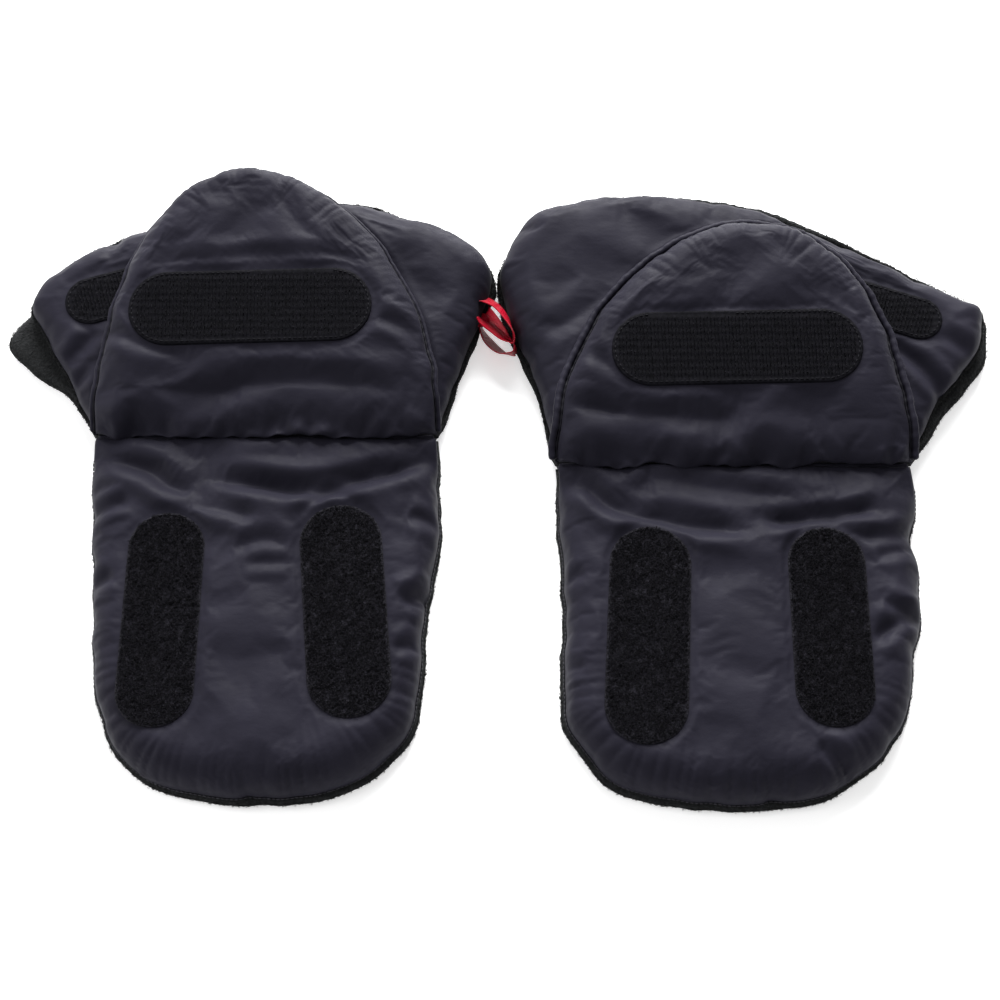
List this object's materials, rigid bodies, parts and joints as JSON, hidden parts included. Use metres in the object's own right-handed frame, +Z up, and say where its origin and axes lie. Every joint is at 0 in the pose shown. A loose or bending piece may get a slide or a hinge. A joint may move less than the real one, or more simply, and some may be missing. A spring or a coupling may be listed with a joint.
{
  "type": "convertible flip-top mittens",
  "caption": "Pair of padded mitts laid open, each with a fleece-lined hand pocket, a flip top with a hook patch and a cuff flap with loop patches that close over a bar.",
  "frame": {"origin": "middle of the pair's bounding box, on the table", "axes": "+X along the folds, from the left mitt to the right mitt, +Y from the cuff flaps towards the flip tops' tips, +Z up"},
  "size_m": [0.5198, 0.3422, 0.0508],
  "materials": {
    "nylon": "fine plain-weave nylon taffeta, black-navy, soft sheen",
    "fleece": "short matt fleece",
    "wadding": "polyester wadding, matt",
    "loop_tape": "fuzzy woven loop tape",
    "hook_tape": "woven tape with rows of nylon hooks",
    "piping": "nylon-covered cord",
    "ribbon": "red satin ribbon"
  },
  "bodies": {
    "left_pocket": {"left_back_shell": "nylon", "left_back_padding": "wadding", "left_back_fleece": "fleece", "left_palm_shell": "nylon", "left_palm_padding": "wadding", "left_palm_fleece": "fleece", "left_palm_hook_patch": "hook_tape"},
    "left_flip_top": {"left_flip_top_shell": "nylon", "left_flip_top_padding": "wadding", "left_flip_top_lining": "nylon", "left_flip_top_hook_patch": "hook_tape", "left_flip_top_piping": "piping"},
    "left_cuff_flap": {"left_cuff_flap_shell": "nylon", "left_cuff_flap_padding": "wadding", "left_cuff_flap_fleece": "fleece", "left_cuff_flap_outer_loop_patch": "loop_tape", "left_cuff_flap_inner_loop_patch": "loop_tape"},
    "ribbon_loop": {"left_ribbon_loop": "ribbon"},
    "right_pocket": {"right_back_shell": "nylon", "right_back_padding": "wadding", "right_back_fleece": "fleece", "right_palm_shell": "nylon", "right_palm_padding": "wadding", "right_palm_fleece": "fleece", "right_palm_hook_patch": "hook_tape"},
    "right_flip_top": {"right_flip_top_shell": "nylon", "right_flip_top_padding": "wadding", "right_flip_top_lining": "nylon", "right_flip_top_hook_patch": "hook_tape", "right_flip_top_piping": "piping"},
    "right_cuff_flap": {"right_cuff_flap_shell": "nylon", "right_cuff_flap_padding": "wadding", "right_cuff_flap_fleece": "fleece", "right_cuff_flap_outer_loop_patch": "loop_tape", "right_cuff_flap_inner_loop_patch": "loop_tape"}
  },
  "joints": [
    {"name": "left_flip_top_fold", "type": "hinge", "parent": "left_pocket", "child": "left_flip_top", "pos_m": [-0.12063, 0.0199, 0.024], "axis": [1, 0, 0], "range_deg": [0, 105]},
    {"name": "left_cuff_flap_fold", "type": "hinge", "parent": "left_pocket", "child": "left_cuff_flap", "pos_m": [-0.12063, 0.0199, 0.024], "axis": [-1, 0, 0], "range_deg": [0, 42]},
    {"name": "right_mitt_apart", "type": "slide", "parent": "left_pocket", "child": "right_pocket", "axis": [1, 0, 0], "range_m": [0, 0.3]},
    {"name": "right_flip_top_fold", "type": "hinge", "parent": "right_pocket", "child": "right_flip_top", "pos_m": [0.11637, 0.0039, 0.024], "axis": [1, 0, 0], "range_deg": [0, 105]},
    {"name": "right_cuff_flap_fold", "type": "hinge", "parent": "right_pocket", "child": "right_cuff_flap", "pos_m": [0.11637, 0.0039, 0.024], "axis": [-1, 0, 0], "range_deg": [0, 42]},
    {"name": "ribbon_loop_swing", "type": "hinge", "parent": "left_pocket", "child": "ribbon_loop", "pos_m": [-0.0032, 0.0933, 0.015], "axis": [-0.9613, -0.2756, 0], "range_deg": [0, 60]}
  ]
}
